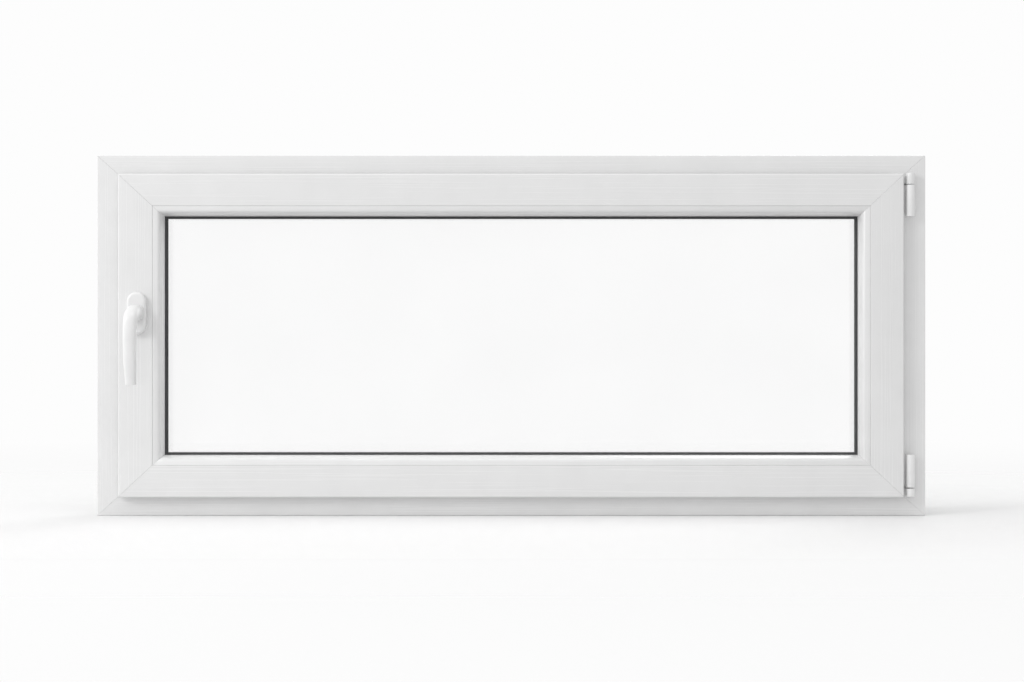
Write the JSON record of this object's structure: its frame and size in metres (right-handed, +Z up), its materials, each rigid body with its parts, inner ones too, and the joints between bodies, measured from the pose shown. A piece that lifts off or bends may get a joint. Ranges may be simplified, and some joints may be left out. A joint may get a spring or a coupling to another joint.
{
  "type": "casement window",
  "caption": "Wide white plastic casement window: an inward-opening tilt-and-turn sash with insulating glass, a lever handle on the left and exposed hinges on the right.",
  "frame": {"origin": "middle of the frame's underside, where the sill stands", "axes": "+X to the right seen from the room, +Y outdoors, +Z up; the sash, handle and hinges are on the -Y side"},
  "size_m": [1.38, 0.1545, 0.6],
  "materials": {
    "pvc_white": "satin",
    "coated_white": "satin",
    "coated_aluminium": "satin",
    "cap_white": "satin",
    "seal_black": "matte",
    "float_glass": "polished",
    "galvanised_steel": "satin",
    "silver_hardware": "satin",
    "spacer_aluminium": "satin",
    "sealant_dark": "matte",
    "packer_blue": "satin",
    "core_grey": "satin"
  },
  "bodies": {
    "frame": {"corner_bearing": "coated_white", "corner_bearing_sleeve": "cap_white", "drain_hood_left": "cap_white", "drain_hood_right": "cap_white", "frame_head": "pvc_white", "frame_jamb_hinge": "pvc_white", "frame_jamb_lock": "pvc_white", "frame_seal": "seal_black", "frame_sill": "pvc_white", "frame_steel_head": "galvanised_steel", "frame_steel_sill": "galvanised_steel", "keep_bottom": "silver_hardware", "keep_lock_lower": "silver_hardware", "keep_lock_upper": "silver_hardware", "keep_top": "silver_hardware", "stay_bearing": "coated_white", "stay_bearing_sleeve": "cap_white", "stay_hinge_pin": "galvanised_steel"},
    "hinge_pivot": {"pivot_cup": "silver_hardware"},
    "sash": {"sash_bottom_rail": "pvc_white", "sash_steel_sill": "galvanised_steel", "sash_stile_lock": "pvc_white", "sash_steel_lock": "galvanised_steel", "sash_top_rail": "pvc_white", "sash_steel_head": "galvanised_steel", "sash_stile_hinge": "pvc_white", "sash_steel_hinge": "galvanised_steel", "bead_sill": "pvc_white", "bead_lock": "pvc_white", "bead_head": "pvc_white", "bead_hinge": "pvc_white", "pane_room": "float_glass", "pane_weather": "float_glass", "spacer_bar": "spacer_aluminium", "edge_sealant": "sealant_dark", "bead_seal": "seal_black", "glazing_seal_weather": "seal_black", "sash_seal": "seal_black", "glass_packer_lock": "packer_blue", "glass_packer_hinge": "packer_blue", "faceplate_lock": "silver_hardware", "faceplate_top": "silver_hardware", "faceplate_bottom": "silver_hardware", "corner_drive_upper": "silver_hardware", "corner_drive_lower": "silver_hardware", "gear_case": "silver_hardware", "handle_cover": "coated_aluminium", "handle_base": "core_grey", "handle_screw_upper": "galvanised_steel", "handle_screw_lower": "galvanised_steel", "corner_band": "coated_white", "corner_band_sleeve": "cap_white"},
    "handle": {"handle_lever": "coated_aluminium", "handle_spindle": "galvanised_steel", "lock_gear": "silver_hardware"},
    "lock_rod": {"rod_lock": "silver_hardware"},
    "top_rod": {"rod_top": "silver_hardware"},
    "bottom_rod": {"rod_bottom": "silver_hardware"},
    "stay": {"stay_arm": "coated_white"}
  },
  "joints": [
    {"name": "sash_turn", "type": "hinge", "parent": "frame", "child": "hinge_pivot", "pos_m": [0.66294, -0.044, 0.04], "axis": [0, 0, 1], "range_deg": [0, 90]},
    {"name": "sash_tilt", "type": "hinge", "parent": "hinge_pivot", "child": "sash", "pos_m": [0.66294, -0.044, 0.04], "axis": [1, 0, 0], "range_deg": [0, 10], "deforming": ["sash_seal"]},
    {"name": "handle_turn", "type": "hinge", "parent": "sash", "child": "handle", "pos_m": [-0.61954, -0.07, 0.337], "axis": [0, -1, 0], "range_deg": [0, 180]},
    {"name": "lock_rod_slide", "type": "slide", "parent": "sash", "child": "lock_rod", "axis": [0, 0, -1], "range_m": [0, 0.0246]},
    {"name": "top_rod_slide", "type": "slide", "parent": "sash", "child": "top_rod", "axis": [-1, 0, 0], "range_m": [0, 0.0246]},
    {"name": "bottom_rod_slide", "type": "slide", "parent": "sash", "child": "bottom_rod", "axis": [1, 0, 0], "range_m": [0, 0.0246]},
    {"name": "stay_swing", "type": "hinge", "parent": "hinge_pivot", "child": "stay", "pos_m": [0.66294, -0.044, 0.56], "axis": [0, 0, 1], "range_deg": [0, 20.6]}
  ],
  "couplings": [
    {"joint": "lock_rod_slide", "follows": "handle_turn", "m_per_rad": 0.0078},
    {"joint": "top_rod_slide", "follows": "handle_turn", "m_per_rad": 0.0078},
    {"joint": "bottom_rod_slide", "follows": "handle_turn", "m_per_rad": 0.0078},
    {"joint": "stay_swing", "follows": "sash_tilt", "ratio": 2.05}
  ]
}
